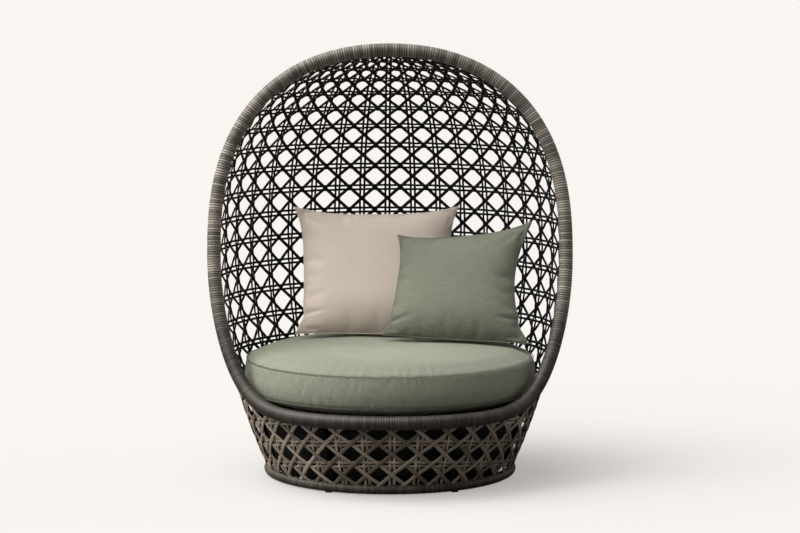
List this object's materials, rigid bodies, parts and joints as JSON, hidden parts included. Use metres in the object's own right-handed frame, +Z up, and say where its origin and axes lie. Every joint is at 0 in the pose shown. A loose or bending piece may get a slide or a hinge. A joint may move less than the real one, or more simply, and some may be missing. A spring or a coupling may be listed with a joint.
{
  "type": "upholstered armchairs and lounge chairs",
  "caption": "Egg-shaped lounge chair with an open cane-weave hood on a wrapped tube frame, a round seat cushion and loose back pillows.",
  "frame": {"origin": "centre of the foot ring on the floor", "axes": "+Z up, -Y towards the open front, +X to the right of someone who faces the chair from the front"},
  "size_m": [1.1776, 1.0761, 1.3895],
  "materials": {
    "frame_metal": "satin",
    "hardware": "satin",
    "wicker_wrap": "matte",
    "wicker_weave": "matte",
    "glide": "matte",
    "webbing": "matte",
    "liner": "matte",
    "seat_cloth": "matte",
    "green_cloth": "matte",
    "taupe_cloth": "matte",
    "foam": "matte",
    "fill": "matte"
  },
  "bodies": {
    "frame": {"rim_hood_tube": "frame_metal", "rim_front_tube": "frame_metal", "rim_hood_wrap": "wicker_wrap", "rim_front_wrap": "wicker_wrap", "foot_ring_tube": "frame_metal", "foot_ring_wrap": "wicker_wrap", "glides": "glide", "posts": "frame_metal", "base_liner": "liner", "seat_ring": "frame_metal", "seat_rails": "frame_metal", "seat_straps": "webbing", "strap_rivets": "hardware", "rim_brackets": "frame_metal", "hood_stakes": "wicker_weave", "skirt_stakes": "wicker_weave", "hood_hoops": "wicker_weave", "back_hoops": "wicker_weave", "low_hoops": "wicker_weave", "left_diagonals": "wicker_weave", "right_diagonals": "wicker_weave"},
    "seat_cushion": {"seat_cover_top": "seat_cloth", "seat_cover_band": "seat_cloth", "seat_cover_base": "seat_cloth", "seat_foam": "foam"},
    "taupe_pillow": {"taupe_front": "taupe_cloth", "taupe_back": "taupe_cloth", "taupe_fill": "fill"},
    "green_pillow": {"green_front": "green_cloth", "green_back": "green_cloth", "green_fill": "fill"}
  },
  "joints": [
    {"name": "cushion_out", "type": "slide", "parent": "frame", "child": "seat_cushion", "axis": [0, -0.7507, 0.6606], "range_m": [0, 0.9]},
    {"name": "taupe_out", "type": "slide", "parent": "seat_cushion", "child": "taupe_pillow", "axis": [0, -0.866, 0.5], "range_m": [0, 0.9]},
    {"name": "green_out", "type": "slide", "parent": "taupe_pillow", "child": "green_pillow", "axis": [0, -0.866, 0.5], "range_m": [0, 0.9]}
  ]
}
